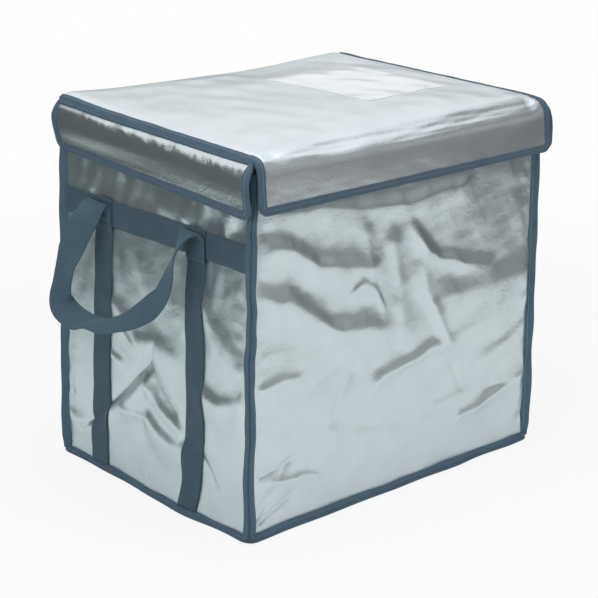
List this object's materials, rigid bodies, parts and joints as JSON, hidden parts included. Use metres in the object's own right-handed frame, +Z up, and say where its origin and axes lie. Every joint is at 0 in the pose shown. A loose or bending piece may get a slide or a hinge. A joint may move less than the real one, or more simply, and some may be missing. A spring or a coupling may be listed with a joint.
{
  "type": "vaccine carrier",
  "caption": "Soft insulated box of foil laminate for carrying vaccines, with taped seams, a hinged lid with three closing flaps and webbing handles on its sides.",
  "frame": {"origin": "on the floor, under the middle of the box, at the centre of its flat bottom face", "axes": "+X along the wide front towards its right end, +Y from the front to the hinge at the back, +Z up"},
  "size_m": [0.5808, 0.3466, 0.426],
  "materials": {
    "foil_laminate": "silvery woven laminate with a satin metallic sheen",
    "binding_tape": "slate-blue woven tape",
    "webbing": "slate-blue twill webbing",
    "insulation_foam": "white closed-cell foam sheet",
    "inner_lining": "bright foil lining film",
    "hook_tape": "hooked closure tape",
    "loop_tape": "looped closure tape",
    "label_sheet": "blank translucent film"
  },
  "bodies": {
    "body": {"back_foam": "insulation_foam", "back_skin": "foil_laminate", "bottom_binding": "binding_tape", "bottom_foam": "insulation_foam", "bottom_skin": "foil_laminate", "corner_binding_front_left": "binding_tape", "corner_binding_front_right": "binding_tape", "corner_binding_rear_left": "binding_tape", "corner_binding_rear_right": "binding_tape", "front_foam": "insulation_foam", "front_loop_tape": "loop_tape", "front_skin": "foil_laminate", "inner_liner": "inner_lining", "left_band": "webbing", "left_foam": "insulation_foam", "left_loop_tape": "loop_tape", "left_skin": "foil_laminate", "left_strap_front": "webbing", "left_strap_rear": "webbing", "right_band": "webbing", "right_foam": "insulation_foam", "right_loop_tape": "loop_tape", "right_skin": "foil_laminate", "right_strap_front": "webbing", "right_strap_rear": "webbing", "rim_binding": "binding_tape"},
    "lid": {"blank_label": "label_sheet", "lid_binding_left": "binding_tape", "lid_binding_right": "binding_tape", "lid_foam": "insulation_foam", "lid_lining": "inner_lining", "lid_skin": "foil_laminate"},
    "front_flap": {"front_flap_binding": "binding_tape", "front_flap_foam": "insulation_foam", "front_flap_lining": "inner_lining", "front_flap_skin": "foil_laminate", "front_hook_tape": "hook_tape"},
    "left_flap": {"left_flap_binding": "binding_tape", "left_flap_foam": "insulation_foam", "left_flap_lining": "inner_lining", "left_flap_skin": "foil_laminate", "left_hook_tape": "hook_tape"},
    "right_flap": {"right_flap_binding": "binding_tape", "right_flap_foam": "insulation_foam", "right_flap_lining": "inner_lining", "right_flap_skin": "foil_laminate", "right_hook_tape": "hook_tape"},
    "left_handle": {"left_handle": "webbing"},
    "right_handle": {"right_handle": "webbing"}
  },
  "joints": [
    {"name": "lid_hinge", "type": "hinge", "parent": "body", "child": "lid", "pos_m": [0, 0.167, 0.425], "axis": [-1, 0, 0], "range_deg": [0, 245]},
    {"name": "front_flap_fold", "type": "hinge", "parent": "lid", "child": "front_flap", "pos_m": [0, -0.1738, 0.419], "axis": [-1, 0, 0], "range_deg": [0, 170]},
    {"name": "left_flap_fold", "type": "hinge", "parent": "lid", "child": "left_flap", "pos_m": [-0.2268, 0, 0.4227], "axis": [0, 1, 0], "range_deg": [0, 170]},
    {"name": "right_flap_fold", "type": "hinge", "parent": "lid", "child": "right_flap", "pos_m": [0.2268, 0, 0.4227], "axis": [0, -1, 0], "range_deg": [0, 170]},
    {"name": "left_handle_swing", "type": "hinge", "parent": "body", "child": "left_handle", "pos_m": [-0.2248, 0, 0.3293], "axis": [0, 1, 0], "range_deg": [-12, 130]},
    {"name": "right_handle_swing", "type": "hinge", "parent": "body", "child": "right_handle", "pos_m": [0.2248, 0, 0.3293], "axis": [0, -1, 0], "range_deg": [-12, 130]}
  ]
}
